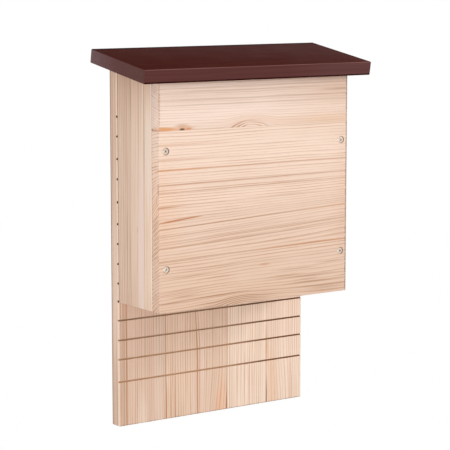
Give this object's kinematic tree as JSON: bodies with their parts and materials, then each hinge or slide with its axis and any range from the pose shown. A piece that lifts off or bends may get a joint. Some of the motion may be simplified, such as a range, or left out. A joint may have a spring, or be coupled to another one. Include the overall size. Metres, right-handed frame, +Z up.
{
  "type": "bat box",
  "caption": "Wooden bat box for a wall: kerfed back board with a landing tail, open-bottomed roosting chambers either side of a baffle, and a sloping painted roof.",
  "frame": {"origin": "on the wall face of the back board, midway between the seats of the two keyholes that the box hangs by", "axes": "+Z up, +Y towards the wall, +X to the right as seen from the front; left and right in names are as seen from the front"},
  "size_m": [0.298, 0.1094, 0.414],
  "materials": {
    "bare_pine": "planed and sanded edge-glued pine or fir, unfinished",
    "roof_paint": "smooth wood under dark reddish-brown satin paint",
    "zinc_steel": "bright zinc-plated steel"
  },
  "bodies": {
    "root": {"back_board": "bare_pine", "side_board_left": "bare_pine", "side_board_right": "bare_pine", "front_board": "bare_pine", "baffle_board": "bare_pine", "roof_board": "roof_paint", "front_screw_left_lower": "zinc_steel", "front_screw_left_upper": "zinc_steel", "front_screw_right_lower": "zinc_steel", "front_screw_right_upper": "zinc_steel", "back_screw_left_lower": "zinc_steel", "back_screw_left_middle": "zinc_steel", "back_screw_left_upper": "zinc_steel", "back_screw_right_lower": "zinc_steel", "back_screw_right_middle": "zinc_steel", "back_screw_right_upper": "zinc_steel", "roof_brad_left_rear": "zinc_steel", "roof_brad_left_front": "zinc_steel", "roof_brad_right_rear": "zinc_steel", "roof_brad_right_front": "zinc_steel", "roof_brad_back_left": "zinc_steel", "roof_brad_back_right": "zinc_steel", "hanger_plate_left": "zinc_steel", "hanger_plate_right": "zinc_steel", "hanger_screw_left_lower": "zinc_steel", "hanger_screw_left_upper": "zinc_steel", "hanger_screw_right_lower": "zinc_steel", "hanger_screw_right_upper": "zinc_steel"}
  },
  "joints": []
}
